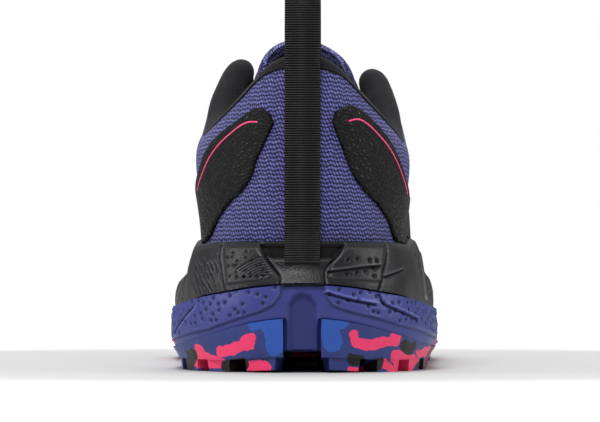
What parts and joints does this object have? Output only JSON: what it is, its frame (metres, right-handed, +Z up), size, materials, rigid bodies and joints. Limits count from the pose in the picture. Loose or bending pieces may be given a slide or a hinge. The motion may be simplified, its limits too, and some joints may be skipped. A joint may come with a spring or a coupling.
{
  "type": "trail running shoe",
  "caption": "Low trail running shoe for the right foot with a lugged rubber sole, two-tone foam, knitted upper, laced throat and heel pull loop.",
  "frame": {"origin": "on the floor, under the middle of the shoe's own box", "axes": "+Y from heel to toe, +X towards the lateral side of this right shoe, +Z up from the floor"},
  "size_m": [0.1043, 0.2864, 0.1295],
  "materials": {
    "outsole_rubber": "matte rubber mottled in blue, pink and black",
    "light_foam": "satin moulded foam, indigo blue with small dimples",
    "dark_foam": "satin moulded foam, charcoal with a leather grain",
    "upper_knit": "open knit in violet blue loops on navy",
    "lining": "black knitted lining and padded collar",
    "heel_film": "black film with a fine crinkle, slightly glossy",
    "eyestay_film": "black film with a fine grain",
    "lace": "flat woven lace, charcoal",
    "webbing": "black ribbed webbing"
  },
  "bodies": {
    "root": {"outsole": "outsole_rubber", "midsole": "light_foam", "carrier": "dark_foam", "upper": "upper_knit", "insole": "lining", "heel_overlay_lateral": "heel_film", "heel_overlay_medial": "heel_film", "toe_cap": "heel_film", "eyestay_lateral": "eyestay_film", "eyestay_medial": "eyestay_film", "tongue": "upper_knit", "lace_crossing_1": "lace", "lace_crossing_2": "lace", "lace_crossing_3": "lace", "lace_crossing_4": "lace", "lace_crossing_5": "lace", "pull_loop": "webbing"}
  },
  "joints": []
}
